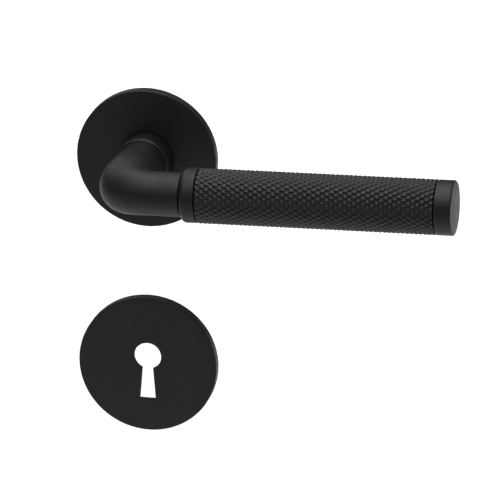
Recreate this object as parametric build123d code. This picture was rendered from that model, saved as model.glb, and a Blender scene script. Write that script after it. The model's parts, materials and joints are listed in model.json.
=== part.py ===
"""Door lever on a round rose, with a separate round key escutcheon below it.

Millimetres. X runs along the lever, Y into the door and Z up. The origin is the spindle's
axis at the door's surface, so everything in front of the door has a negative Y.
Turn angles are about Y: they start at +X and grow towards -Z, the way the lever goes down.
"""

from math import cos, pi, sin
import os

from build123d import *

# Both round plates
PLATE_RADIUS = 26.0
PLATE_DEPTH = 4.0
PLATE_EDGE = 0.3
FACE_WALL = 1.2
SKIRT_WALL = 1.4
KEY_DROP = 80.0

# Base plates inside the covers
BASE_RADIUS = PLATE_RADIUS - SKIRT_WALL - 0.2
BASE_DEPTH = PLATE_DEPTH - FACE_WALL - 0.05
SCREW_SPACING = 38.0
CLIP_RADIUS = PLATE_RADIUS - SKIRT_WALL - 0.1
CLIP_WIRE = 0.45
CLIP_GROOVE = 0.5
CLIP_DEPTH = 1.4

# Countersunk screws
SCREW_RADIUS = 2.0
SCREW_NECK_RADIUS = 1.8
SCREW_HEAD_RADIUS = 3.9
SCREW_LENGTH = 16.0
SCREW_PLAY = 0.1

# Keyhole: a round hole for the key's shank over a flared slot for its bit
KEY_ROUND_RADIUS = 5.1
KEY_ROUND_RISE = 3.2
KEY_SLOT_TOP_WIDTH = 3.3
KEY_SLOT_FOOT_WIDTH = 6.0
KEY_SLOT_FOOT = 13.5
KEY_RELIEF = 1.9

# Lever
REST_RISE = 1.4
NECK_FOOT_RADIUS = 8.8
NECK_RADIUS = 10.0
ELBOW_PIVOT = 12.0
ELBOW_SQUARENESS = 2.7
CREASE_SQUARENESS = 4.0
STUB_RADIUS = 7.95
GRIP_STANDOFF = 41.0
LEVER_LENGTH = 121.0
GRIP_RADIUS = 10.0
TRIM_RADIUS = 9.9
CORE_RADIUS = 6.4
STUB_END = 22.15
COLLAR_START = 22.6
COLLAR_END = 28.05
COLLAR_SHOULDER = 1.8
KNURL_START = 28.35
KNURL_END = 114.65
CAP_START = 114.9
CORE_START = 9.5
CORE_END = 117.5
SOCKET_START = CORE_START - 0.5
SOCKET_END = CORE_END + 0.5

# Pivot: the lever's shank turns in a bush held in the rose's neck collar
SHANK_RADIUS = 7.0
SHANK_FLATS = 12.0
SHANK_END = 9.7
BUSH_PLAY = 0.05
BUSH_RADIUS = 8.5
COLLAR_RADIUS = 10.1
COLLAR_FRONT = 11.6
COLLAR_ROUNDING = 1.0
COLLAR_LIP_BACK = 10.2
COLLAR_MOUTH_RADIUS = NECK_FOOT_RADIUS + 0.2
NECK_SHOULDER = COLLAR_LIP_BACK + 0.35
FLANGE_RADIUS = 13.0
FLANGE_DEPTH = 1.0

# Square spindle
SPINDLE_SIZE = 8.0
SPINDLE_FRONT = 25.0
SPINDLE_BACK = 48.0
GRUB_RADIUS = 2.5
GRUB_STANDOFF = 17.0

# Return spring cassette, let into the door behind the rose
CUP_RADIUS = 12.0
CUP_WALL = 1.0
CUP_SEAT = 0.6
CUP_BACK = 11.4
CUP_MOUTH_RADIUS = SHANK_RADIUS + 0.4
HUB_RADIUS = 8.4
HUB_FRONT = 0.9
HUB_BACK = 7.9
ARM_RADIUS = 10.6
ARM_FRONT = 1.1
ARM_BACK = 3.2
ARM_SPREAD = 24.0
STOP_RADIUS = HUB_RADIUS + 0.4
STOP_FRONT = 0.9
STOP_BACK = 1.9
STOP_SPREAD = 20.0
STOP_PLAY = 2.0
TRAVEL = 45.0
ARM_REST = -90.0 - TRAVEL / 2
WASHER_RADIUS = HUB_RADIUS
WASHER_DEPTH = 0.5
RING_DEPTH = 0.94
RING_RADIUS = 8.5
RING_SEAT_RADIUS = 6.5
RING_GAP = 50.0
SPRING_RADIUS = 9.7
SPRING_WIRE = 0.6
SPRING_PITCH = 1.6
SPRING_TURNS = 3
SPRING_FRONT = 4.1
SPRING_BACK = SPRING_FRONT + SPRING_PITCH * SPRING_TURNS
SPRING_LEG_FRONT = 2.3
SPRING_LEG_BACK = 10.9
SPRING_LEG_ANGLE = ARM_REST + ARM_SPREAD / 2 + 4.0

FIT_GAP = 0.05
OVERCUT = 1.0


def bar(radius, front, back):
    """A round bar on the spindle's axis, between two places along Y."""
    return Pos(0, (front + back) / 2, 0) * Rot(90, 0, 0) * Cylinder(radius, back - front)


def cross_bar(radius, start, end):
    """A round bar on the grip's axis, between two places along X."""
    middle = Pos((start + end) / 2, -GRIP_STANDOFF, 0)
    return middle * Rot(0, 90, 0) * Cylinder(radius, end - start)


def cone(front_radius, back_radius, front, back):
    """A cone on the spindle's axis whose wide end faces the viewer when it is the first radius."""
    middle = Pos(0, (front + back) / 2, 0)
    return middle * Rot(90, 0, 0) * Cone(back_radius, front_radius, back - front)


def sector(inner, outer, front, back, start, spread):
    """A block bent round Y, from one turn angle on through a spread."""
    section = Pos((inner + outer) / 2, (front + back) / 2) * Rectangle(outer - inner, back - front)
    return Rot(0, start, 0) * revolve(section, Axis.Y, spread)


def square_bar(size, front, back):
    """A square bar on the spindle's axis."""
    return Pos(0, (front + back) / 2, 0) * Box(size, back - front, size)


def edges_at(solid, axis, place):
    """The edges whose centre lies at one place along an axis."""
    tolerance = 0.01
    return solid.edges().filter_by_position(axis, place - tolerance, place + tolerance)


def screw_places():
    """The two screws stand level with the plate's centre, one on each side."""
    return [Pos(side * SCREW_SPACING / 2, 0, 0) for side in (-1, 1)]


def clip_groove():
    """The round groove that the snap ring shares between a cover and its base."""
    return Pos(0, -CLIP_DEPTH, 0) * Rot(90, 0, 0) * Torus(CLIP_RADIUS, CLIP_GROOVE)


def clip_ring():
    """An open wire ring that snaps the cover onto its base."""
    ring = Pos(0, -CLIP_DEPTH, 0) * Rot(90, 0, 0) * Torus(CLIP_RADIUS, CLIP_WIRE)
    gap = sector(CLIP_RADIUS - 2, CLIP_RADIUS + 2, -PLATE_DEPTH, 0, 80, 20)
    return ring - gap


def cover(opening):
    """A shallow round cap with a crisp front edge and an opening through its face."""
    disc = bar(PLATE_RADIUS, -PLATE_DEPTH, 0)
    disc = fillet(edges_at(disc, Axis.Y, -PLATE_DEPTH), PLATE_EDGE)
    inside = bar(PLATE_RADIUS - SKIRT_WALL, FACE_WALL - PLATE_DEPTH, OVERCUT)
    return disc - inside - clip_groove() - opening


def base_plate(opening):
    """The plate that is screwed to the door and carries a cover."""
    plate = bar(BASE_RADIUS, -BASE_DEPTH, 0) - clip_groove() - opening
    hole_radius = SCREW_RADIUS + SCREW_PLAY
    sink_radius = SCREW_HEAD_RADIUS + SCREW_PLAY
    hole = bar(hole_radius, -BASE_DEPTH, OVERCUT)
    hole += cone(sink_radius, hole_radius, -BASE_DEPTH, sink_radius - hole_radius - BASE_DEPTH)
    for place in screw_places():
        plate -= place * hole
    return plate


def screw():
    """A countersunk machine screw with a cross recess and a plain neck, its thread behind the plate."""
    head_back = SCREW_HEAD_RADIUS - SCREW_RADIUS - BASE_DEPTH
    tip = 1.0
    body = cone(SCREW_HEAD_RADIUS, SCREW_RADIUS, -BASE_DEPTH, head_back)
    body += bar(SCREW_NECK_RADIUS, head_back, 0)
    body += bar(SCREW_RADIUS, 0, SCREW_LENGTH)
    body += cone(SCREW_RADIUS, SCREW_RADIUS - tip, SCREW_LENGTH, SCREW_LENGTH + tip)
    recess_depth = 1.2
    recess_span = 4.2
    recess_width = 0.9
    place = Pos(0, -BASE_DEPTH, 0)
    body -= place * Box(recess_span, 2 * recess_depth, recess_width)
    body -= place * Box(recess_width, 2 * recess_depth, recess_span)
    return body


def screw_pair():
    """The two like screws of one plate, as separate solids."""
    return Compound(children=[place * screw() for place in screw_places()])


def keyhole(relief):
    """The keyhole's outline, widened all round by a relief, as a cutter through a plate."""
    half_top = KEY_SLOT_TOP_WIDTH / 2 + relief
    half_foot = KEY_SLOT_FOOT_WIDTH / 2 + relief
    foot = -KEY_SLOT_FOOT - relief
    corners = [
        (-half_top, KEY_ROUND_RISE),
        (half_top, KEY_ROUND_RISE),
        (half_foot, foot),
        (-half_foot, foot),
    ]
    outline = Polygon(*corners, align=None)
    outline += Pos(0, KEY_ROUND_RISE) * Circle(KEY_ROUND_RADIUS + relief)
    return extrude(Plane.XZ * outline, PLATE_DEPTH + OVERCUT, both=True)


# Rose: everything that stays still round the spindle


def rose_cover():
    return cover(bar(COLLAR_RADIUS + FIT_GAP, -PLATE_DEPTH - OVERCUT, 0))


def rose_base():
    """The base has a stepped middle for the neck collar and a seat for the spring cup."""
    step = bar(FLANGE_RADIUS + FIT_GAP, -BASE_DEPTH - OVERCUT, FLANGE_DEPTH - BASE_DEPTH)
    middle = bar(COLLAR_RADIUS + FIT_GAP, -BASE_DEPTH, OVERCUT)
    cup_seat = bar(CUP_RADIUS + FIT_GAP, -CUP_SEAT, OVERCUT)
    cup_seat -= bar(CUP_RADIUS - CUP_WALL - FIT_GAP, -CUP_SEAT, OVERCUT)
    return base_plate(step + middle + cup_seat)


def neck_collar():
    """The sleeve round the neck, with a lip in front and a flange trapped under the cover."""
    sleeve = bar(COLLAR_RADIUS, -COLLAR_FRONT, 0)
    sleeve = fillet(edges_at(sleeve, Axis.Y, -COLLAR_FRONT), COLLAR_ROUNDING)
    sleeve += bar(FLANGE_RADIUS, -BASE_DEPTH, FLANGE_DEPTH - BASE_DEPTH)
    sleeve -= bar(BUSH_RADIUS, -COLLAR_LIP_BACK, OVERCUT)
    return sleeve - bar(COLLAR_MOUTH_RADIUS, -COLLAR_FRONT - OVERCUT, 0)


def neck_bearing():
    """A nylon bush that the lever's shank turns in."""
    return bar(BUSH_RADIUS, -COLLAR_LIP_BACK, 0) - bar(SHANK_RADIUS + BUSH_PLAY, -COLLAR_FRONT, OVERCUT)


def on_spring(solid):
    """Moves a solid from the spindle's axis out to the place of the spring's two legs."""
    return Rot(0, SPRING_LEG_ANGLE, 0) * Pos(SPRING_RADIUS, 0, 0) * solid


def spring_cup():
    """The cup behind the base, with two stops inside that limit the hub's arm."""
    cup = bar(CUP_RADIUS, -CUP_SEAT, CUP_BACK)
    cup -= bar(CUP_RADIUS - CUP_WALL, -CUP_SEAT - OVERCUT, CUP_BACK - CUP_WALL)
    cup -= bar(CUP_MOUTH_RADIUS, 0, CUP_BACK + OVERCUT)
    half_arm = ARM_SPREAD / 2 + STOP_PLAY
    wall = CUP_RADIUS - CUP_WALL / 2
    for start in (ARM_REST - half_arm - STOP_SPREAD, ARM_REST + TRAVEL + half_arm):
        cup += sector(STOP_RADIUS, wall, STOP_FRONT, STOP_BACK, start, STOP_SPREAD)
    leg_hole = bar(SPRING_WIRE + FIT_GAP, SPRING_BACK, CUP_BACK + OVERCUT)
    return cup - on_spring(leg_hole)


def return_spring():
    """A torsion spring round the hub: one leg against the hub's arm, one in the cup's back."""
    middle = (0, SPRING_FRONT, 0)
    length = SPRING_BACK - SPRING_FRONT
    path = Helix(SPRING_PITCH, length, SPRING_RADIUS, center=middle, direction=(0, 1, 0))
    wire = Plane(origin=path @ 0, z_dir=path % 0) * Circle(SPRING_WIRE)
    upright_start = 90.0
    coil = Rot(0, SPRING_LEG_ANGLE + upright_start, 0) * sweep(wire, path=path, is_frenet=True)
    spring = coil + on_spring(bar(SPRING_WIRE, SPRING_LEG_FRONT, SPRING_FRONT))
    spring += on_spring(bar(SPRING_WIRE, SPRING_BACK, SPRING_LEG_BACK))
    for bend in (SPRING_FRONT, SPRING_BACK):
        spring += on_spring(Pos(0, bend, 0) * Sphere(SPRING_WIRE))
    return spring


# Key escutcheon


def lowered(solid):
    """Moves a solid from the spindle's axis down to the key plate's centre."""
    return Pos(0, 0, -KEY_DROP) * solid


# Lever: everything that turns with the handle


def shank_section(play):
    """The shank's back end, a round bar with two flats, widened by a play for what fits on it."""
    flats = Box(4 * SHANK_RADIUS, 4 * SHANK_END, SHANK_FLATS + 2 * play)
    return bar(SHANK_RADIUS + play, FIT_GAP, SHANK_END) & flats


def raised(solid):
    """Turns a piece of the lever to its place at rest, the free end a little above level."""
    return Rot(0, -REST_RISE, 0) * solid


def rounded_corner(reach_x, reach_y, squareness, fan):
    """How far a rounded corner lies from the elbow's pivot, at an angle of the fan."""
    power = (cos(fan) / reach_x) ** squareness + (sin(fan) / reach_y) ** squareness
    return power ** (-1 / squareness)


def elbow_section(fan):
    """The elbow's oval section on a plane that fans out from the pivot, on its inner side."""
    outer = rounded_corner(ELBOW_PIVOT + NECK_RADIUS, ELBOW_PIVOT + STUB_RADIUS, ELBOW_SQUARENESS, fan)
    inner = rounded_corner(ELBOW_PIVOT - NECK_RADIUS, ELBOW_PIVOT - STUB_RADIUS, CREASE_SQUARENESS, fan)
    share = sin(fan) ** 2
    half_height = NECK_RADIUS + (STUB_RADIUS - NECK_RADIUS) * share
    middle = (outer + inner) / 2
    centre = (ELBOW_PIVOT - middle * cos(fan), ELBOW_PIVOT - GRIP_STANDOFF - middle * sin(fan), 0)
    plane = Plane(origin=centre, x_dir=(-cos(fan), -sin(fan), 0), z_dir=(sin(fan), -cos(fan), 0))
    return plane * Ellipse((outer - inner) / 2, half_height)


def elbow():
    """The bend from the wide neck to the slimmer stub, as a skin over its sections."""
    steps = 8
    return loft([elbow_section(step / steps * pi / 2) for step in range(steps + 1)])


def lever_neck():
    """Shank, neck, elbow and stub in one piece, with sockets for the spindle and the grip's core."""
    bend_start = ELBOW_PIVOT - GRIP_STANDOFF
    neck = cone(NECK_RADIUS, NECK_FOOT_RADIUS, bend_start, -NECK_SHOULDER)
    neck += elbow()
    stub = cross_bar(STUB_RADIUS, ELBOW_PIVOT, STUB_END)
    neck += chamfer(edges_at(stub, Axis.X, STUB_END), 0.2)
    neck += bar(SHANK_RADIUS, -NECK_SHOULDER, FIT_GAP) + shank_section(0)
    neck -= square_bar(SPINDLE_SIZE + 2 * FIT_GAP, -SPINDLE_FRONT - OVERCUT, SHANK_END + OVERCUT)
    neck -= cross_bar(CORE_RADIUS + FIT_GAP, SOCKET_START, STUB_END + OVERCUT)
    grub_hole_length = 2 * NECK_FOOT_RADIUS - SPINDLE_SIZE
    neck -= Pos(0, -GRUB_STANDOFF, -NECK_FOOT_RADIUS) * Cylinder(GRUB_RADIUS, grub_hole_length)
    seat = bar(SHANK_RADIUS + OVERCUT, HUB_BACK, HUB_BACK + RING_DEPTH + FIT_GAP)
    return neck - (seat - bar(RING_SEAT_RADIUS, HUB_BACK, HUB_BACK + RING_DEPTH + FIT_GAP))


def grub_screw():
    """A headless screw from below that grips the spindle, with a hexagon socket."""
    top = -SPINDLE_SIZE / 2 - 0.1
    length = 3.4
    body = Pos(0, -GRUB_STANDOFF, top - length / 2) * Cylinder(GRUB_RADIUS - FIT_GAP, length)
    socket_depth = 1.8
    key = extrude(RegularPolygon(1.45, 6), socket_depth)
    return body - Pos(0, -GRUB_STANDOFF, top - length) * key


def spindle():
    bar_start = square_bar(SPINDLE_SIZE, -SPINDLE_FRONT, SPINDLE_BACK)
    ends = edges_at(bar_start, Axis.Y, -SPINDLE_FRONT) + edges_at(bar_start, Axis.Y, SPINDLE_BACK)
    return chamfer(ends, 0.8)


def drive_hub():
    """The hub keyed to the shank's flats, with the arm that winds the spring and meets the stops."""
    hub = bar(HUB_RADIUS, HUB_FRONT, HUB_BACK)
    hub += sector(HUB_RADIUS - 1, ARM_RADIUS, ARM_FRONT, ARM_BACK, ARM_REST - ARM_SPREAD / 2, ARM_SPREAD)
    return hub - raised(shank_section(FIT_GAP))


def thrust_washer():
    back = HUB_FRONT - FIT_GAP
    return bar(WASHER_RADIUS, back - WASHER_DEPTH, back) - bar(SHANK_RADIUS + FIT_GAP, 0, HUB_BACK)


def retaining_ring():
    """An open spring ring in the shank's groove, behind the hub."""
    front = HUB_BACK + FIT_GAP
    ring = bar(RING_RADIUS, front, front + RING_DEPTH - FIT_GAP)
    ring -= bar(RING_SEAT_RADIUS, HUB_BACK, SHANK_END)
    return ring - sector(0, RING_RADIUS + OVERCUT, HUB_BACK, SHANK_END, -RING_GAP / 2, RING_GAP)


def grip_core():
    """The bar inside the grip that the collar, the knurled sleeve and the cap sit on."""
    core = cross_bar(CORE_RADIUS, CORE_START, CORE_END)
    return chamfer(edges_at(core, Axis.X, CORE_START) + edges_at(core, Axis.X, CORE_END), 0.6)


def bored(solid):
    """Bores a piece of the grip to fit on the core."""
    return solid - cross_bar(CORE_RADIUS + FIT_GAP, SOCKET_START, SOCKET_END)


def grip_collar():
    """The smooth ring between the stub and the knurling, rounded on the stub's side."""
    collar = cross_bar(TRIM_RADIUS, COLLAR_START, COLLAR_END)
    collar = fillet(edges_at(collar, Axis.X, COLLAR_START), COLLAR_SHOULDER)
    return bored(chamfer(edges_at(collar, Axis.X, COLLAR_END), 0.25))


def knurled_grip():
    sleeve = cross_bar(GRIP_RADIUS, KNURL_START, KNURL_END)
    ends = edges_at(sleeve, Axis.X, KNURL_START) + edges_at(sleeve, Axis.X, KNURL_END)
    return bored(chamfer(ends, 0.3))


def grip_end_cap():
    cap = cross_bar(TRIM_RADIUS, CAP_START, LEVER_LENGTH)
    ends = edges_at(cap, Axis.X, CAP_START) + edges_at(cap, Axis.X, LEVER_LENGTH)
    return bored(chamfer(ends, 0.2))


PIECES = {
    "rose_cover": rose_cover(),
    "rose_clip_ring": clip_ring(),
    "rose_base": rose_base(),
    "rose_screws": screw_pair(),
    "neck_collar": neck_collar(),
    "neck_bearing": neck_bearing(),
    "spring_cup": spring_cup(),
    "return_spring": return_spring(),
    "key_cover": lowered(cover(keyhole(0))),
    "key_clip_ring": lowered(clip_ring()),
    "key_base": lowered(base_plate(keyhole(KEY_RELIEF))),
    "key_screws": lowered(screw_pair()),
    "lever_neck": raised(lever_neck()),
    "grub_screw": raised(grub_screw()),
    "spindle": raised(spindle()),
    "drive_hub": drive_hub(),
    "thrust_washer": thrust_washer(),
    "retaining_ring": raised(retaining_ring()),
    "grip_core": raised(grip_core()),
    "grip_collar": raised(grip_collar()),
    "knurled_grip": raised(knurled_grip()),
    "grip_end_cap": raised(grip_end_cap()),
}

os.makedirs("parts", exist_ok=True)
for name, piece in PIECES.items():
    piece.label = name
    export_step(piece, f"parts/{name}.step")
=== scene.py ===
"""Looks of the door lever and its key escutcheon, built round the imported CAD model.

Metres, in the CAD's frame: X along the lever, Y into the door, Z up, with the origin on the
spindle's axis at the door's surface. The lever rests a little above level, so its pieces are
made level in a frame of their own and then turned up about the spindle's axis.
"""

import json
import math

import bmesh
import bpy
import numpy as np
from mathutils import Matrix, Vector


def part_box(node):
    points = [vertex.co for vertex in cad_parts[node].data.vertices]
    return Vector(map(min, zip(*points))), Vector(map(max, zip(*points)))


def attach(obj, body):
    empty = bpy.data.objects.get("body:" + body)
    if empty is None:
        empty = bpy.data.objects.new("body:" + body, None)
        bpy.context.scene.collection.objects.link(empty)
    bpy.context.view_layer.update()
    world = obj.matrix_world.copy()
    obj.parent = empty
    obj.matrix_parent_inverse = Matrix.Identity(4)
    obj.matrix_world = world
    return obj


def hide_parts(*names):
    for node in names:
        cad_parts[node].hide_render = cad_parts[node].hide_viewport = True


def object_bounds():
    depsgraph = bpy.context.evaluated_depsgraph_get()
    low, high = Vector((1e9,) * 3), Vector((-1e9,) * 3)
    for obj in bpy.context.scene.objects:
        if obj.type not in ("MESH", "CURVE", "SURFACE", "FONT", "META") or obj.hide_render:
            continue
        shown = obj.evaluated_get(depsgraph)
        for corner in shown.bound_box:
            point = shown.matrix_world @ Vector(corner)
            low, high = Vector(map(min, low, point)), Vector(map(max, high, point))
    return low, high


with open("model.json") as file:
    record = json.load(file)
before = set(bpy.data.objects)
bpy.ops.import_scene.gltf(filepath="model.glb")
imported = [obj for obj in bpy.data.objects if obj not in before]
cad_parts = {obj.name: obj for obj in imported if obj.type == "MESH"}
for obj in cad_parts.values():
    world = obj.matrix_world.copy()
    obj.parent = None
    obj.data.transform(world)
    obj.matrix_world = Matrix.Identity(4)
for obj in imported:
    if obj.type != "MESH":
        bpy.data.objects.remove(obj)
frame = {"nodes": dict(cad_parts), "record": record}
cad_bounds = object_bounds()

MM = 0.001
TURN = 2 * math.pi
GAP = 0.05 * MM


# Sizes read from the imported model


def points_of(node):
    """A CAD node's vertices as an array."""
    return np.array([v.co[:] for v in frame["nodes"][node].data.vertices])


def middle_of(node):
    low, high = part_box(node)
    return (low + high) / 2


RISE = math.atan2(middle_of("grip_end_cap").z, middle_of("grip_end_cap").x)
LEVER_FRAME = Matrix.Rotation(-RISE, 4, "Y")
TO_LEVER_FRAME = np.array(LEVER_FRAME.inverted().to_3x3())


def lever_points_of(node):
    """A lever node's vertices in the lever's own level frame."""
    return points_of(node) @ TO_LEVER_FRAME.T


def span(points, axis):
    """The lowest and highest place of some points along X (0), Y (1) or Z (2)."""
    return points[:, axis].min(), points[:, axis].max()


def radii_round_y(points, front, back):
    """The smallest and largest distance from the spindle's axis between two places along Y."""
    edge = 0.02 * MM
    near = points[(points[:, 1] > front - edge) & (points[:, 1] < back + edge)]
    distance = np.hypot(near[:, 0], near[:, 2])
    return distance.min(), distance.max()


def radius_round_grip(node):
    low, high = span(lever_points_of(node), 1)
    return (high - low) / 2


PLATE_RADIUS = (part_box("rose_cover")[1].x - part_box("rose_cover")[0].x) / 2
PLATE_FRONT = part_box("rose_cover")[0].y
PLATE_EDGE = 0.3 * MM
PLATE_FACE_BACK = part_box("rose_base")[0].y - GAP
BASE_RADIUS = (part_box("rose_base")[1].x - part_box("rose_base")[0].x) / 2
SKIRT_RADIUS = BASE_RADIUS + 0.2 * MM
KEY_PLATE_Z = middle_of("key_cover").z

RING = points_of("neck_collar")
RING_FRONT = span(RING, 1)[0]
RING_RADIUS = radii_round_y(RING, RING_FRONT, PLATE_FRONT)[1]
RING_MOUTH_RADIUS = radii_round_y(RING, RING_FRONT, RING_FRONT)[0]
RING_FLANGE_RADIUS = radii_round_y(RING, RING_FRONT, 0)[1]
BUSH_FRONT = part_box("neck_bearing")[0].y
BUSH_RADIUS = (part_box("neck_bearing")[1].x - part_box("neck_bearing")[0].x) / 2

NECK = lever_points_of("lever_neck")
GRIP_Y = middle_of("grip_end_cap").y
STUB_RADIUS = GRIP_Y - span(NECK, 1)[0]
STUB_END = span(NECK, 0)[1]
NECK_RADIUS = span(NECK, 2)[1]
NECK_FOOT_RADIUS = radii_round_y(NECK, BUSH_FRONT - 1 * MM, BUSH_FRONT - 0.2 * MM)[1]
NECK_SHOULDER = BUSH_FRONT - 0.35 * MM
ELBOW_PIVOT = 12 * MM
ELBOW_SQUARENESS = 2.7
CREASE_SQUARENESS = 4
BEND_START = GRIP_Y + ELBOW_PIVOT
SHANK_RADIUS = radii_round_y(points_of("neck_bearing"), BUSH_FRONT, 0)[0] - GAP
SHANK_END = span(NECK, 1)[1]
SPINDLE_SIZE = 8 * MM

CORE_BORE = radius_round_grip("grip_core") + GAP
CORE_START, CORE_END = span(lever_points_of("grip_core"), 0)
COLLAR_START, COLLAR_END = span(lever_points_of("grip_collar"), 0)
KNURL_START, KNURL_END = span(lever_points_of("knurled_grip"), 0)
CAP_START, CAP_END = span(lever_points_of("grip_end_cap"), 0)
TRIM_RADIUS = radius_round_grip("grip_end_cap")


# Mesh tools

CRISP_TURN = math.radians(32)


def mesh_piece(name, vertices, faces, sharp_angle=CRISP_TURN):
    """A smooth-shaded mesh object that keeps edges crisp where its faces turn sharply."""
    mesh = bpy.data.meshes.new(name)
    mesh.from_pydata([tuple(v) for v in vertices], [], faces)
    cleaner = bmesh.new()
    cleaner.from_mesh(mesh)
    bmesh.ops.remove_doubles(cleaner, verts=cleaner.verts, dist=0.002 * MM)
    bmesh.ops.recalc_face_normals(cleaner, faces=cleaner.faces)
    cleaner.to_mesh(mesh)
    cleaner.free()
    mesh.shade_smooth()
    mesh.set_sharp_from_angle(angle=sharp_angle)
    piece = bpy.data.objects.new(name, mesh)
    bpy.context.scene.collection.objects.link(piece)
    return piece


def rings_mesh(name, rings, loop=False, **options):
    """Joins rings of equally many points into a skin, closed at both ends or into a loop."""
    count = len(rings[0])
    vertices = np.concatenate(rings)
    faces = []
    last = len(rings) if loop else len(rings) - 1
    for row in range(last):
        near = row * count
        far = (row + 1) % len(rings) * count
        for i in range(count):
            j = (i + 1) % count
            faces.append((near + i, near + j, far + j, far + i))
    if not loop:
        faces.append(tuple(range(count)))
        faces.append(tuple(range(len(vertices) - count, len(vertices))))
    return mesh_piece(name, vertices, faces, **options)


def turn_angles(count):
    return np.arange(count) * TURN / count


def ring_round_y(radius, y, count):
    """A ring of points round the Y axis. The radius may differ from point to point."""
    angles = turn_angles(count)
    return np.stack([radius * np.cos(angles), np.full(count, y), radius * np.sin(angles)], axis=1)


def ring_round_x(radius, x, count):
    """A ring of points round the grip's axis, in the lever's own frame."""
    angles = turn_angles(count)
    through = GRIP_Y + radius * np.cos(angles)
    return np.stack([np.full(count, x), through, radius * np.sin(angles)], axis=1)


def rounded_corner(before, corner, after, radius, steps):
    """Points of an arc that rounds the corner of a profile given as (radius, place) pairs."""
    corner = np.array(corner)
    to_before = np.array(before) - corner
    to_after = np.array(after) - corner
    to_before /= np.linalg.norm(to_before)
    to_after /= np.linalg.norm(to_after)
    half = math.acos(np.clip(to_before @ to_after, -1, 1)) / 2
    inward = (to_before + to_after) / np.linalg.norm(to_before + to_after)
    centre = corner + inward * radius / math.sin(half)
    start = corner + to_before * radius / math.tan(half) - centre
    end = corner + to_after * radius / math.tan(half) - centre
    sweep = math.acos(np.clip(start @ end / radius**2, -1, 1))
    arc = []
    for share in np.linspace(0, 1, steps + 1):
        turned = math.sin((1 - share) * sweep) * start + math.sin(share * sweep) * end
        arc.append(centre + turned / math.sin(sweep))
    return arc


def rounded_profile(corners, steps=6):
    """A closed profile from (radius, place, rounding) corners, each rounded where that isn't 0."""
    profile = []
    for i, (radius, place, rounding) in enumerate(corners):
        if rounding == 0:
            profile.append((radius, place))
            continue
        before = corners[i - 1][:2]
        after = corners[(i + 1) % len(corners)][:2]
        profile.extend(rounded_corner(before, (radius, place), after, rounding, steps))
    return profile


def lathe_y(name, corners, steps):
    """A closed solid turned round the spindle's axis."""
    rings = [ring_round_y(radius, y, 160) for radius, y in rounded_profile(corners, steps)]
    return rings_mesh(name, rings, loop=True)


def lathe_x(name, corners, steps):
    """A closed solid turned round the grip's axis."""
    rings = [ring_round_x(radius, x, 128) for radius, x in rounded_profile(corners, steps)]
    return rings_mesh(name, rings, loop=True)


def cut_round_hole(piece, radius, start, end):
    """Cuts a round hole between two points."""
    start = Vector(start)
    end = Vector(end)
    along = (end - start).normalized()
    side = along.orthogonal().normalized()
    other = along.cross(side)
    rings = []
    for place in (start, end):
        ring = [place + radius * (math.cos(a) * side + math.sin(a) * other) for a in turn_angles(48)]
        rings.append(np.array([p[:] for p in ring]))
    cutter = rings_mesh(piece.name + "_cutter", rings)
    cut = piece.modifiers.new("hole", "BOOLEAN")
    cut.operation = "DIFFERENCE"
    cut.object = cutter
    cut.solver = "EXACT"
    graph = bpy.context.evaluated_depsgraph_get()
    mesh = bpy.data.meshes.new_from_object(piece.evaluated_get(graph))
    piece.modifiers.clear()
    piece.data = mesh
    bpy.data.objects.remove(cutter)
    mesh.shade_smooth()
    mesh.set_sharp_from_angle(angle=CRISP_TURN)


# Rose and key plates, with the keyhole's places given from its plate's centre

KEYHOLE_CENTRE_Z = -1.5 * MM
KEYHOLE_ROUND_Z = 3.2 * MM
KEYHOLE_FOOT_Z = -13.5 * MM
KEYHOLE_ROUND_RADIUS = 5.1 * MM
KEYHOLE_TOP_WIDTH = 3.3 * MM
KEYHOLE_FOOT_WIDTH = 6.0 * MM


def quarter_round(steps):
    """What is left and what is done of a rounding, each as a share, along a quarter turn."""
    return [(1 - math.sin(angle), 1 - math.cos(angle)) for angle in np.linspace(0, math.pi / 2, steps + 1)]


def circle_outline(radius):
    """The distance from a plate opening's centre to its edge, for a round opening."""
    return lambda angles: np.full(len(angles), radius)


def keyhole_outline(angles):
    """The same for a keyhole: a round on top of a slot that flares down to a straight foot."""
    round_rise = KEYHOLE_ROUND_Z - KEYHOLE_CENTRE_Z
    foot = KEYHOLE_FOOT_Z - KEYHOLE_CENTRE_Z
    flare = (KEYHOLE_FOOT_WIDTH - KEYHOLE_TOP_WIDTH) / 2 / (round_rise - foot)
    half_at_centre = KEYHOLE_TOP_WIDTH / 2 + flare * round_rise
    nearly_none = 1e-9
    across = np.cos(angles)
    up = np.sin(angles)
    to_round = up * round_rise + np.sqrt(KEYHOLE_ROUND_RADIUS**2 - (across * round_rise) ** 2)
    to_wall = half_at_centre / np.maximum(np.abs(across) + flare * up, nearly_none)
    to_foot = foot / np.minimum(up, -nearly_none)
    to_slot = np.where(up < 0, np.minimum(to_wall, to_foot), 0)
    return np.maximum(to_round, to_slot)


def keyhole_angles():
    """Even turn angles, with the keyhole's four corners added so that they stay crisp."""
    corner_count = 4
    least_turn = 0.1
    between_corners = 0.02
    clear_of_corner = 0.006
    fine = np.linspace(0, TURN, 200001)
    edge = keyhole_outline(fine)
    heading = np.unwrap(np.arctan2(np.diff(edge * np.sin(fine)), np.diff(edge * np.cos(fine))))
    turning = np.abs(np.diff(heading))
    corners = []
    for i in np.argsort(turning)[::-1]:
        if turning[i] < least_turn or len(corners) == corner_count:
            break
        if all(abs(fine[i + 1] - c) > between_corners for c in corners):
            corners.append(fine[i + 1])
    kept = [a for a in turn_angles(240) if all(abs(a - c) > clear_of_corner for c in corners)]
    return np.array(sorted(kept + corners))


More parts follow.
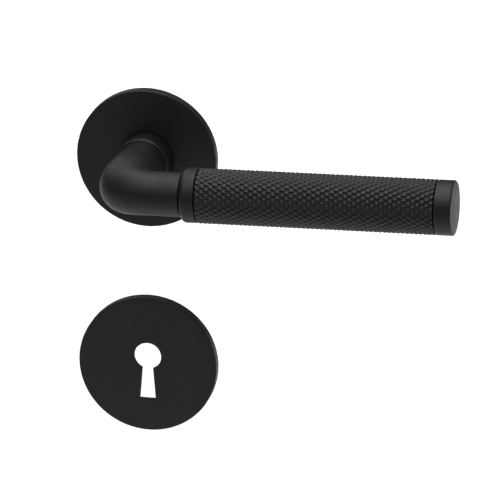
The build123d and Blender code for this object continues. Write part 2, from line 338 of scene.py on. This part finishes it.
def plate(name, centre_z, opening_z, angles, outline):
    """A shallow cover with a crisp rim, its opening's centre a little off the plate's own."""
    cosines = np.cos(angles)
    sines = np.sin(angles)

    def ring(distance, y):
        up = centre_z + opening_z + distance * sines
        return np.stack([distance * cosines, np.full(len(angles), y), up], axis=1)

    def on_opening(inset, y):
        return ring(outline(angles) + inset, y)

    def on_circle(radius, y):
        return ring(np.sqrt(radius**2 - (opening_z * cosines) ** 2) - opening_z * sines, y)

    lip = 0.12 * MM
    foot_edge = 0.15 * MM
    rings = [on_opening(0, PLATE_FACE_BACK)]
    for left, done in quarter_round(4):
        rings.append(on_opening(lip * done, PLATE_FRONT + lip * left))
    inner = rings[-1]
    outer = on_circle(PLATE_RADIUS - PLATE_EDGE, PLATE_FRONT)
    for share in np.linspace(0, 1, 13)[1:-1]:
        rings.append(inner + (outer - inner) * share)
    for left, done in quarter_round(6):
        rings.append(on_circle(PLATE_RADIUS - PLATE_EDGE * left, PLATE_FRONT + PLATE_EDGE * done))
    rings += [
        on_circle(PLATE_RADIUS, PLATE_FRONT / 2),
        on_circle(PLATE_RADIUS, -foot_edge),
        on_circle(PLATE_RADIUS - foot_edge, 0),
        on_circle(SKIRT_RADIUS, 0),
        on_circle(SKIRT_RADIUS, PLATE_FACE_BACK),
    ]
    return rings_mesh(name, rings, loop=True)


def make_rose_plate():
    return plate("rose_plate", 0, 0, turn_angles(240), circle_outline(RING_RADIUS + GAP))


def make_key_plate():
    return plate("key_plate", KEY_PLATE_Z, KEYHOLE_CENTRE_Z, keyhole_angles(), keyhole_outline)


def make_neck_ring():
    """The ring round the neck, drawn in softly at its front, with its flange behind the rose plate."""
    mouth_edge = 0.1 * MM
    shoulder_width = 0.95 * MM
    shoulder_length = 1.6 * MM
    flange_front = PLATE_FACE_BACK + GAP
    flange_back = flange_front + 1 * MM
    flange_edge = 0.1 * MM
    corners = [
        (RING_MOUTH_RADIUS, RING_FRONT + mouth_edge, 0),
        (RING_MOUTH_RADIUS + mouth_edge, RING_FRONT, 0),
    ]
    for left, done in quarter_round(12):
        corners.append((RING_RADIUS - shoulder_width * left, RING_FRONT + shoulder_length * done, 0))
    corners += [
        (RING_RADIUS, flange_front, 0),
        (RING_FLANGE_RADIUS, flange_front, flange_edge),
        (RING_FLANGE_RADIUS, flange_back, flange_edge),
        (RING_RADIUS, flange_back, 0),
        (RING_RADIUS, 0, 0),
        (BUSH_RADIUS, 0, 0),
        (BUSH_RADIUS, BUSH_FRONT, 0),
        (RING_MOUTH_RADIUS, BUSH_FRONT, 0),
    ]
    return lathe_y("neck_ring", corners, steps=10)


# Lever

NECK_POINTS = 128
NECK_ANGLES = turn_angles(NECK_POINTS)
FLAT_REACH = 6 * MM
RING_GROOVE_RADIUS = 6.5 * MM
GRUB_HOLE_RADIUS = 2.5 * MM


def ring_on_neck(radius, y):
    """A ring from -X by way of +Z, so that it meets the elbow's. The radius may differ by point."""
    across = -radius * np.cos(NECK_ANGLES)
    return np.stack([across, np.full(NECK_POINTS, y), radius * np.sin(NECK_ANGLES)], axis=1)


def ring_on_stub(radius, x):
    """The same ring after the bend, round the grip's axis."""
    through = GRIP_Y - radius * np.cos(NECK_ANGLES)
    return np.stack([np.full(NECK_POINTS, x), through, radius * np.sin(NECK_ANGLES)], axis=1)


def shank_rings():
    """From the spindle's hole out over the flats and the retaining ring's groove to the shoulder."""
    across = np.abs(np.cos(NECK_ANGLES))
    up = np.abs(np.sin(NECK_ANGLES))
    hole = (SPINDLE_SIZE / 2 + GAP) / np.maximum(across, up)
    hole_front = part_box("spindle")[0].y - 1 * MM
    flats = np.minimum(SHANK_RADIUS, FLAT_REACH / np.maximum(up, 1e-9))
    groove = np.minimum(RING_GROOVE_RADIUS, flats)
    groove_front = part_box("retaining_ring")[0].y - GAP
    groove_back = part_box("retaining_ring")[1].y + GAP
    end_chamfer = 0.3 * MM
    foot_chamfer = 0.2 * MM
    return [
        ring_on_neck(hole, hole_front),
        ring_on_neck(hole, SHANK_END),
        ring_on_neck(flats - end_chamfer, SHANK_END),
        ring_on_neck(flats, SHANK_END - end_chamfer),
        ring_on_neck(flats, groove_back),
        ring_on_neck(groove, groove_back),
        ring_on_neck(groove, groove_front),
        ring_on_neck(flats, groove_front),
        ring_on_neck(flats, GAP),
        ring_on_neck(SHANK_RADIUS, GAP),
        ring_on_neck(SHANK_RADIUS, NECK_SHOULDER),
        ring_on_neck(NECK_FOOT_RADIUS - foot_chamfer, NECK_SHOULDER),
        ring_on_neck(NECK_FOOT_RADIUS, NECK_SHOULDER - foot_chamfer),
    ]


def neck_rings():
    """A fine bead just before the rose's ring, then the neck, widening evenly up to the bend."""
    bead = ((0.05, 0), (0.12, 0.08), (0.25, 0.15), (0.4, 0.16), (0.6, 0.1), (0.8, 0))

    def radius_at(y):
        share = (y - NECK_SHOULDER) / (BEND_START - NECK_SHOULDER)
        return NECK_FOOT_RADIUS + (NECK_RADIUS - NECK_FOOT_RADIUS) * share

    rings = []
    for before_ring, rise in bead:
        y = RING_FRONT - before_ring * MM
        rings.append(ring_on_neck(radius_at(y) + rise * MM, y))
    for y in np.linspace(NECK_SHOULDER, BEND_START, 9)[1:-1]:
        rings.append(ring_on_neck(radius_at(y), y))
    return rings


def rounded_reach(reach_x, reach_y, squareness, fan):
    """How far a rounded corner lies from the elbow's pivot, at an angle of the fan."""
    power = (math.cos(fan) / reach_x) ** squareness + (math.sin(fan) / reach_y) ** squareness
    return power ** (-1 / squareness)


def elbow_rings():
    """Oval rings from the wide neck to the slimmer stub, on planes that fan out from a pivot."""
    rings = []
    for fan in np.linspace(0, math.pi / 2, 37):
        outer = rounded_reach(ELBOW_PIVOT + NECK_RADIUS, ELBOW_PIVOT + STUB_RADIUS, ELBOW_SQUARENESS, fan)
        inner = rounded_reach(ELBOW_PIVOT - NECK_RADIUS, ELBOW_PIVOT - STUB_RADIUS, CREASE_SQUARENESS, fan)
        half_height = NECK_RADIUS + (STUB_RADIUS - NECK_RADIUS) * math.sin(fan) ** 2
        reach = (outer + inner) / 2 + (outer - inner) / 2 * np.cos(NECK_ANGLES)
        x = ELBOW_PIVOT - reach * math.cos(fan)
        y = BEND_START - reach * math.sin(fan)
        rings.append(np.stack([x, y, half_height * np.sin(NECK_ANGLES)], axis=1))
    return rings


def stub_rings():
    """The stub with its chamfered end, and the bore for the grip's core."""
    end_chamfer = 0.25 * MM
    end_eased = 0.02 * MM
    bore_end = CORE_START - 0.5 * MM
    straight = np.linspace(ELBOW_PIVOT, STUB_END - end_chamfer, 7)[1:-1]
    return [ring_on_stub(STUB_RADIUS, x) for x in straight] + [
        ring_on_stub(STUB_RADIUS - end_eased, STUB_END - end_chamfer),
        ring_on_stub(STUB_RADIUS - end_chamfer, STUB_END),
        ring_on_stub(CORE_BORE, STUB_END),
        ring_on_stub(CORE_BORE, bore_end),
    ]


def make_neck():
    """Shank, neck, elbow and stub in one skin, from the spindle's hole round to the core's."""
    neck = rings_mesh("neck", shank_rings() + neck_rings() + elbow_rings() + stub_rings())
    grub_y = middle_of("grub_screw").y
    cut_round_hole(neck, GRUB_HOLE_RADIUS, (0, grub_y, -SPINDLE_SIZE / 2), (0, grub_y, -2 * NECK_RADIUS))
    return neck


def make_grip_collar():
    """The smooth ring before the knurling, rounded on the stub's side."""
    corners = [
        (CORE_BORE, COLLAR_START, 0),
        (TRIM_RADIUS, COLLAR_START, 1.8 * MM),
        (TRIM_RADIUS, COLLAR_END, 0.25 * MM),
        (CORE_BORE, COLLAR_END, 0),
    ]
    return lathe_x("collar_ring", corners, steps=10)


def make_end_cap():
    """The plain cap, with a fine chamfer round its flat face and a socket for the core."""
    chamfer = 0.35 * MM
    on_axis = 0.001 * MM
    socket_end = CORE_END + 0.5 * MM
    corners = [
        (on_axis, socket_end, 0),
        (CORE_BORE, socket_end, 0),
        (CORE_BORE, CAP_START, 0),
        (TRIM_RADIUS, CAP_START, 0.25 * MM),
        (TRIM_RADIUS, CAP_END - chamfer, 0.05 * MM),
        (TRIM_RADIUS - chamfer, CAP_END, 0.05 * MM),
        (on_axis, CAP_END, 0),
    ]
    rings = [ring_round_x(radius, x, 128) for radius, x in rounded_profile(corners)]
    return rings_mesh("end_cap", rings)


# Knurling: a steep and a flat family of grooves, and where along and round the grip they cross

KNURL_STARTS = 29
KNURL_CELLS = 7
KNURL_COUNT = KNURL_STARTS * KNURL_CELLS
STEEP_PITCH = 3.61 * MM
FLAT_PITCH = 2.963 * MM
KNURL_STEP = 1 / (KNURL_CELLS * (1 / STEEP_PITCH + 1 / FLAT_PITCH))
KNURL_DEPTH = 0.52 * MM
KNURL_TOP = 10.06 * MM
KNURL_FADE = 0.25 * MM
KNURL_SHIFT = -0.57 * MM
KNURL_TURN = math.radians(-1.02)


def knurl_ring(row, x, radius):
    """A ring of the sleeve, twisted along with the steep grooves."""
    around = np.arange(KNURL_COUNT) / KNURL_CELLS - row * KNURL_STEP / STEEP_PITCH
    angles = KNURL_TURN + TURN * around / KNURL_STARTS
    through = GRIP_Y + radius * np.cos(angles)
    return np.stack([np.full(KNURL_COUNT, x), through, radius * np.sin(angles)], axis=1)


def knurl_radius(row, x):
    """The radius round a row of the sleeve: diamonds between grooves, dying out at the ends."""
    along = row * KNURL_STEP
    u = np.arange(KNURL_COUNT) / KNURL_CELLS
    v = along / STEEP_PITCH + along / FLAT_PITCH - u
    height = 2 * np.minimum(np.abs(u - np.round(u)), np.abs(v - np.round(v)))
    edge = np.clip(min(x - KNURL_START, KNURL_END - x) / KNURL_FADE, 0, 1)
    return KNURL_TOP - KNURL_DEPTH * (1 - edge * height)


def sleeve_faces(ring_count, untwist):
    """Slanting triangles over the knurling, and plain faces at the ends and in the bore."""
    faces = []
    last = ring_count - 1
    for row in range(ring_count):
        near = row * KNURL_COUNT
        far = 0 if row == last else near + KNURL_COUNT
        shift = -untwist if row == last else 0
        for i in range(KNURL_COUNT):
            j = (i + 1) % KNURL_COUNT
            over_i = far + (i + shift) % KNURL_COUNT
            over_j = far + (i + 1 + shift) % KNURL_COUNT
            if 0 < row < last - 1:
                faces.append((near + i, over_j, over_i))
                faces.append((near + i, near + j, over_j))
            else:
                faces.append((near + i, near + j, over_j, over_i))
    return faces


def make_grip_sleeve():
    """The sleeve with crossed helical grooves that leave raised diamonds.

    One family of grooves is a little steeper than the other. The rows of points are spaced so
    that every groove runs along edges of the mesh.
    """
    origin = KNURL_START + KNURL_SHIFT
    first_row = math.ceil((KNURL_START - origin) / KNURL_STEP)
    last_row = math.floor((KNURL_END - origin) / KNURL_STEP)
    rings = [knurl_ring(first_row, KNURL_START, CORE_BORE)]
    for row in range(first_row, last_row + 1):
        x = origin + row * KNURL_STEP
        rings.append(knurl_ring(row, x, knurl_radius(row, x)))
    rings.append(knurl_ring(last_row, KNURL_END, CORE_BORE))
    untwist = round((last_row - first_row) * KNURL_STEP / STEEP_PITCH * KNURL_CELLS)
    faces = sleeve_faces(len(rings), untwist)
    return mesh_piece("grip_sleeve", np.concatenate(rings), faces, sharp_angle=math.radians(60))


# Screws

SCREW_HEAD_RADIUS = 3.9 * MM
SCREW_NECK_RADIUS = 1.8 * MM
THREAD_RADIUS = 2.0 * MM
THREAD_DEPTH = 0.42 * MM
THREAD_PITCH = 0.7 * MM


def thread_radius(y, tip, angles):
    """The thread's radius round the screw at one place, dying out at its start and its tapered tip."""
    crest_width = 1.25
    flank_slope = 2.9
    phase = (y / THREAD_PITCH - angles / TURN) % 1
    crest = np.clip(crest_width - np.abs(phase - 0.5) * flank_slope, 0, 1)
    ends = np.clip(min(y, tip - y) / THREAD_PITCH, 0, 1)
    taper = 0.9 * max(0, y - tip + 1 * MM)
    return np.minimum(THREAD_RADIUS - THREAD_DEPTH * (1 - crest * ends), THREAD_RADIUS - taper)


def threaded_screw(name, centre_x, centre_z):
    """A countersunk screw with a real helical thread behind its plain neck."""
    count = 48
    head_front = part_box("rose_base")[0].y
    head_edge = 0.1 * MM
    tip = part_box("rose_screws")[1].y
    thread_start = 0.02 * MM
    rings = [
        ring_round_y(SCREW_HEAD_RADIUS - head_edge, head_front, count),
        ring_round_y(SCREW_HEAD_RADIUS, head_front + head_edge, count),
        ring_round_y(SCREW_NECK_RADIUS, head_front + SCREW_HEAD_RADIUS - SCREW_NECK_RADIUS, count),
        ring_round_y(SCREW_NECK_RADIUS, 0, count),
    ]
    step = THREAD_PITCH / 10
    for row in range(int(tip / step)):
        y = thread_start + row * step
        rings.append(ring_round_y(thread_radius(y, tip, turn_angles(count)), y, count))
    screw = rings_mesh(name, rings, sharp_angle=math.radians(50))
    screw.data.transform(Matrix.Translation((centre_x, 0, centre_z)))
    return screw


# Materials


def new_material(name, **settings):
    """A material with a Principled shader whose plain settings are set on its own sockets."""
    material = bpy.data.materials.new(name)
    material.use_nodes = True
    shader = material.node_tree.nodes["Principled BSDF"]
    for socket, value in settings.items():
        shader.inputs[socket.replace("_", " ")].default_value = value
    return material, shader


def add(material, kind, **settings):
    """Adds a shader node. A setting is one of its input sockets, or else one of its own options."""
    node = material.node_tree.nodes.new(kind)
    for name, value in settings.items():
        socket = name.replace("_", " ")
        if socket in node.inputs:
            node.inputs[socket].default_value = value
        else:
            setattr(node, name, value)
    return node


def join(material, source, target):
    material.node_tree.links.new(source, target)


def object_place(material, stretch=(1, 1, 1)):
    """Places on the surface, in metres, stretched along the axes when the grain runs one way."""
    place = add(material, "ShaderNodeTexCoord")
    scaling = add(material, "ShaderNodeMapping")
    scaling.inputs["Scale"].default_value = stretch
    join(material, place.outputs["Object"], scaling.inputs["Vector"])
    return scaling.outputs["Vector"]


def noise(material, place, size, detail=3.0, roughness=0.55):
    """Soft noise whose blots are about one size across, in metres."""
    node = add(material, "ShaderNodeTexNoise", Scale=1 / size, Detail=detail, Roughness=roughness)
    join(material, place, node.inputs["Vector"])
    return node.outputs["Fac"]


def ranged(material, value, low, high, start=0.35, end=0.65):
    """Turns a noise value into a number between low and high."""
    node = add(material, "ShaderNodeMapRange", From_Min=start, From_Max=end, To_Min=low, To_Max=high)
    join(material, value, node.inputs["Value"])
    return node.outputs["Result"]


def between(material, factor, first, second):
    """Mixes two colours by a factor. Either one may be a colour or another node's output."""
    node = add(material, "ShaderNodeMix", data_type="RGBA", clamp_factor=True)
    join(material, factor, node.inputs["Factor"])
    for socket, colour in ((node.inputs[6], first), (node.inputs[7], second)):
        if isinstance(colour, tuple):
            socket.default_value = (*colour, 1)
        else:
            join(material, colour, socket)
    return node.outputs[2]


def bumped(material, height, depth, strength=1.0, under=None):
    """A bump of a real depth in metres, on top of another one when given."""
    node = add(material, "ShaderNodeBump", Distance=depth, Strength=strength)
    join(material, height, node.inputs["Height"])
    if under is not None:
        join(material, under, node.inputs["Normal"])
    return node.outputs["Normal"]


def edges_and_hollows(material, hollow, edge):
    """0 in hollows and 1 on outer edges."""
    shape = add(material, "ShaderNodeNewGeometry")
    return ranged(material, shape.outputs["Pointiness"], 0, 1, hollow, edge)


def grey(level, warmth=0.0):
    return (level * (1 + warmth), level, level * (1 - warmth))


def satin_black(name, tone=0.006, rough=(0.48, 0.56)):
    """Satin black powder coat: a fine orange peel, slightly uneven gloss and fine dust specks."""
    material, shader = new_material(name, Specular_IOR_Level=0.5)
    place = object_place(material)
    cloud = ranged(material, noise(material, place, 22 * MM, 4), 0, 1)
    speck = ranged(material, noise(material, place, 0.35 * MM, 2), 0, 1, 0.60, 0.80)
    base = between(material, cloud, grey(tone * 0.92), grey(tone * 1.10))
    dusty = between(material, ranged(material, speck, 0, 0.35, 0, 1), base, grey(tone * 2.2, 0.02))
    worn = edges_and_hollows(material, 0.56, 0.70)
    coloured = between(material, ranged(material, worn, 0, 0.35, 0, 1), dusty, grey(tone * 1.9))
    join(material, coloured, shader.inputs["Base Color"])
    gloss = ranged(material, noise(material, place, 6 * MM, 5), rough[0], rough[1])
    join(material, gloss, shader.inputs["Roughness"])
    peel = bumped(material, noise(material, place, 0.9 * MM, 2), 0.02 * MM, 0.5)
    grain = bumped(material, noise(material, place, 0.22 * MM, 2), 0.006 * MM, 0.5, peel)
    join(material, grain, shader.inputs["Normal"])
    return material


def knurl_black(name):
    """The same coat over knurling: polished by hands on the tops, matt in the grooves. Its colour holds
    painted shade, darker in the grooves, and a painted highlight, lighter on the diamond tops.
    """
    material, shader = new_material(name, Specular_IOR_Level=0.5)
    place = object_place(material)
    height = edges_and_hollows(material, 0.44, 0.56)
    cloud = ranged(material, noise(material, place, 14 * MM, 4), 0, 1)
    # Painted shade and painted highlight: the colour is darker in the grooves (low) and lighter on the
    # diamond tops (top).
    low = between(material, cloud, grey(0.0050), grey(0.0060))
    top = between(material, cloud, grey(0.0080), grey(0.0100))
    join(material, between(material, height, low, top), shader.inputs["Base Color"])
    wear = noise(material, place, 3 * MM, 4)
    polish = ranged(material, wear, 0.34, 0.42)
    matt = ranged(material, wear, 0.44, 0.52)
    gloss = add(material, "ShaderNodeMix", data_type="FLOAT")
    join(material, height, gloss.inputs["Factor"])
    join(material, matt, gloss.inputs[2])
    join(material, polish, gloss.inputs[3])
    join(material, gloss.outputs[0], shader.inputs["Roughness"])
    grain = bumped(material, noise(material, place, 0.25 * MM, 2), 0.008 * MM, 0.5)
    join(material, grain, shader.inputs["Normal"])
    return material


def metal(name, colour, rough, grain=(1, 1, 1), grain_size=0.4 * MM, depth=0.004 * MM, stain=None):
    """Bare or plated metal with its grain drawn out along one axis, and light stains."""
    material, shader = new_material(name, Metallic=1.0)
    drawn = noise(material, object_place(material, grain), grain_size, 3)
    place = object_place(material)
    cloud = ranged(material, noise(material, place, 5 * MM, 4), 0, 1)
    darker = tuple(c * 0.82 for c in colour)
    base = between(material, cloud, darker, colour)
    lined = between(material, ranged(material, drawn, 0, 0.4), base, tuple(c * 0.7 for c in colour))
    if stain is not None:
        patches = ranged(material, noise(material, place, 2.5 * MM, 6, 0.7), 0, 0.8, 0.55, 0.75)
        lined = between(material, patches, lined, stain)
    join(material, lined, shader.inputs["Base Color"])
    gloss = ranged(material, noise(material, place, 1.2 * MM, 4), rough[0], rough[1])
    join(material, gloss, shader.inputs["Roughness"])
    join(material, bumped(material, drawn, depth, 0.6), shader.inputs["Normal"])
    return material


def nylon(name):
    """Moulded natural nylon, a little waxy, with a faint eroded texture."""
    material, shader = new_material(name, Subsurface_Weight=0.25, Subsurface_Scale=0.6 * MM)
    place = object_place(material)
    cloud = ranged(material, noise(material, place, 4 * MM, 4), 0, 1)
    cream = between(material, cloud, (0.74, 0.72, 0.66), (0.82, 0.80, 0.75))
    join(material, cream, shader.inputs["Base Color"])
    gloss = ranged(material, noise(material, place, 1.5 * MM, 3), 0.38, 0.55)
    join(material, gloss, shader.inputs["Roughness"])
    eroded = bumped(material, noise(material, place, 0.3 * MM, 2), 0.01 * MM, 0.5)
    join(material, eroded, shader.inputs["Normal"])
    return material


def floor_material(name):
    """A plain pale studio floor with a trace of unevenness."""
    material, shader = new_material(name, Specular_IOR_Level=0.2)
    place = object_place(material)
    cloud = ranged(material, noise(material, place, 300 * MM, 3), 0, 1)
    join(material, between(material, cloud, grey(0.90), grey(0.93)), shader.inputs["Base Color"])
    gloss = ranged(material, noise(material, place, 40 * MM, 3), 0.6, 0.75)
    join(material, gloss, shader.inputs["Roughness"])
    return material


FINISHES = {
    "black_satin": satin_black("satin_black_coat"),
    "black_knurl": knurl_black("knurled_black_coat"),
    "black_steel": metal(
        "black_oxide_steel", colour=grey(0.055, 0.02), rough=(0.35, 0.50), stain=(0.075, 0.06, 0.05)
    ),
    "spring_steel": metal(
        "oiled_spring_steel", colour=(0.34, 0.33, 0.31), rough=(0.22, 0.38), depth=0.002 * MM
    ),
    "zinc_plate": metal(
        "zinc_plated_steel", colour=(0.60, 0.62, 0.64), rough=(0.28, 0.45), stain=(0.55, 0.53, 0.45)
    ),
    "bright_steel": metal(
        "bright_drawn_steel",
        colour=(0.42, 0.41, 0.40),
        rough=(0.30, 0.42),
        grain=(1, 0.04, 1),
        depth=0.001 * MM,
    ),
    "white_nylon": nylon("natural_nylon"),
}
SLOT_OF_NODE = {row["node"]: row["material_slot"] for row in frame["record"]["subparts"]}


def coat(piece, slot):
    piece.data.materials.clear()
    piece.data.materials.append(FINISHES[slot])


# Build


def stand_for(piece, node, body):
    """Gives a piece the finish and body of the CAD node it stands for, and hides that node."""
    slot = SLOT_OF_NODE[node]
    coat(piece, slot)
    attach(piece, body)
    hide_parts(node)


def put_on_lever(piece, node):
    """Turns a level piece up to the lever's rest and lets it ride on the lever."""
    piece.matrix_world = LEVER_FRAME
    stand_for(piece, node, "lever")


for node, carried in frame["nodes"].items():
    coat(carried, SLOT_OF_NODE[node])

stand_for(make_rose_plate(), "rose_cover", "door_side")
stand_for(make_key_plate(), "key_cover", "door_side")
stand_for(make_neck_ring(), "neck_collar", "door_side")
put_on_lever(make_neck(), "lever_neck")
put_on_lever(make_grip_collar(), "grip_collar")
put_on_lever(make_grip_sleeve(), "knurled_grip")
put_on_lever(make_end_cap(), "grip_end_cap")

for node, side in (("rose_screws", "rose"), ("key_screws", "key")):
    low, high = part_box(node)
    reach = (high.x - low.x) / 2 - SCREW_HEAD_RADIUS
    for hand, x in (("left", -reach), ("right", reach)):
        screw = threaded_screw(f"{side}_screw_{hand}", x, middle_of(node).z)
        stand_for(screw, node, "door_side")


# Floor, light and camera

FLOOR_DROP = 0.12
FLOOR_Z = cad_bounds[0].z - FLOOR_DROP
FLOOR_REACH = 6.0
LIGHT_ARCH_RADIUS = 0.45
AIR_STRENGTH = 0.13
CAMERA_AZIMUTH = math.radians(12.416)
CAMERA_ELEVATION = math.radians(19.865)
CAMERA_DISTANCE = 1.977
CAMERA_AIM = Vector((0.03857, -0.00349, -0.03238))
CAMERA_LENS = 390.5


def sheet(name, corners, material):
    """A flat sheet, linked to the scene and not attached to any of the part's bodies."""
    mesh = bpy.data.meshes.new(name)
    mesh.from_pydata(corners, [], [tuple(range(len(corners)))])
    mesh.materials.append(material)
    flat = bpy.data.objects.new(name, mesh)
    bpy.context.scene.collection.objects.link(flat)


def soft_light(name, place, target, width, height, power, spread=180):
    """A rectangular light, unseen by the camera, that faces a target."""
    lamp = bpy.data.lights.new(name, "AREA")
    lamp.shape = "RECTANGLE"
    lamp.size = width
    lamp.size_y = height
    lamp.energy = power
    lamp.spread = math.radians(spread)
    holder = bpy.data.objects.new(name, lamp)
    holder.location = place
    holder.rotation_mode = "QUATERNION"
    holder.rotation_quaternion = (Vector(target) - Vector(place)).to_track_quat("-Z", "Y")
    holder.visible_camera = False
    bpy.context.scene.collection.objects.link(holder)
    return holder


def overhead_light(name, elevation, opening, centre_x, width, power):
    """A soft light on an arch over the grip. The elevation runs from the front over the top."""
    target = Vector((centre_x, GRIP_Y, 0))
    turned = math.radians(elevation)
    place = target + LIGHT_ARCH_RADIUS * Vector((0, -math.cos(turned), math.sin(turned)))
    depth = 2 * LIGHT_ARCH_RADIUS * math.tan(math.radians(opening) / 2)
    soft_light(name, place, target, width, depth, power)


def light_floor():
    """The light that keeps the floor white. It isn't mirrored in the metal."""
    place = (0.0, 1.0, 1.0)
    target = (0.0, 0.65, FLOOR_Z)
    light = soft_light("floor_light", place, target, width=1.6, height=0.8, power=8.3, spread=84)
    light.visible_glossy = False


def light_air():
    """An even white surrounding, and colours shown as they are."""
    world = bpy.data.worlds.new("studio_air")
    world.use_nodes = True
    background = world.node_tree.nodes["Background"]
    background.inputs["Color"].default_value = (1, 1, 1, 1)
    background.inputs["Strength"].default_value = AIR_STRENGTH
    bpy.context.scene.world = world
    bpy.context.scene.view_settings.view_transform = "Standard"


def place_camera():
    """A long lens, a little from the right and from above."""
    camera = bpy.data.objects.new("camera", bpy.data.cameras.new("camera"))
    camera.data.lens = CAMERA_LENS
    camera.data.sensor_width = 36
    camera.data.clip_start = 0.01
    level = math.cos(CAMERA_ELEVATION)
    across = math.sin(CAMERA_AZIMUTH) * level
    out = math.cos(CAMERA_AZIMUTH) * level
    backwards = Vector((across, -out, math.sin(CAMERA_ELEVATION)))
    camera.location = CAMERA_AIM + CAMERA_DISTANCE * backwards
    camera.rotation_mode = "QUATERNION"
    camera.rotation_quaternion = (-backwards).to_track_quat("-Z", "Y")
    bpy.context.scene.collection.objects.link(camera)
    bpy.context.scene.camera = camera


floor_sides = ((-1, -1), (1, -1), (1, 1), (-1, 1))
floor_corners = [(x * FLOOR_REACH, y * FLOOR_REACH, FLOOR_Z) for x, y in floor_sides]
sheet("studio_floor", floor_corners, floor_material("pale_floor"))
overhead_light("front_light", elevation=48, opening=18, centre_x=0.0, width=0.3, power=0.26)
overhead_light("top_light", elevation=84, opening=54, centre_x=0.0, width=0.3, power=1.16)
overhead_light("back_light", elevation=120, opening=18, centre_x=-0.2, width=0.7, power=0.50)
overhead_light("left_back_light", elevation=147, opening=36, centre_x=-0.35, width=0.4, power=0.22)
light_floor()
light_air()
place_camera()
